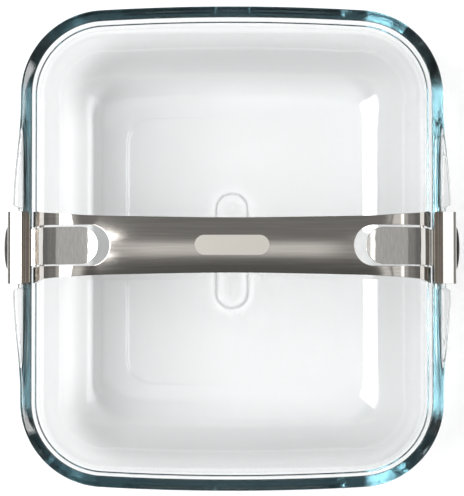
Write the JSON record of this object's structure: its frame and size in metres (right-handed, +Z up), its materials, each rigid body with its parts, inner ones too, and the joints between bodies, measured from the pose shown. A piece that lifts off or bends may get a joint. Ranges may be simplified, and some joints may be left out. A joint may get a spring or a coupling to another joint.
{
  "type": "glass baking dish",
  "caption": "Rectangular clear glass baking dish with a thick rim and side ears, carried by an arched steel strap handle whose sprung thumb-lever clips hook under the rim.",
  "frame": {"origin": "on the table under the middle of the dish", "axes": "+X along the handle towards the right clip, +Y along the dish's length, +Z up"},
  "size_m": [0.2362, 0.251, 0.113],
  "materials": {
    "glass": "clear pressed borosilicate, faint teal in the thick rim",
    "brushed_steel": "brushed along its length",
    "polished_steel": "polished",
    "spring_steel": "drawn wire, satin",
    "silicone": "matt dark grey"
  },
  "bodies": {
    "dish": {"glass_dish": "glass", "handle_bow": "brushed_steel", "left_hinge_pin": "spring_steel", "right_hinge_pin": "spring_steel", "left_spring": "spring_steel", "right_spring": "spring_steel"},
    "left_latch": {"left_clip": "polished_steel", "left_rim_pad": "silicone", "left_bumper": "silicone"},
    "right_latch": {"right_clip": "polished_steel", "right_rim_pad": "silicone", "right_bumper": "silicone"}
  },
  "joints": [
    {"name": "left_clip_hinge", "type": "hinge", "parent": "dish", "child": "left_latch", "pos_m": [-0.09778, 0, 0.0644], "axis": [0, 1, 0], "range_deg": [0, 25], "stiffness_Nm_per_rad": 0.083, "springref_deg": -60.16, "deforming": ["left_spring"]},
    {"name": "right_clip_hinge", "type": "hinge", "parent": "dish", "child": "right_latch", "pos_m": [0.09778, 0, 0.0644], "axis": [0, -1, 0], "range_deg": [0, 25], "stiffness_Nm_per_rad": 0.083, "springref_deg": -60.16, "deforming": ["right_spring"]}
  ]
}
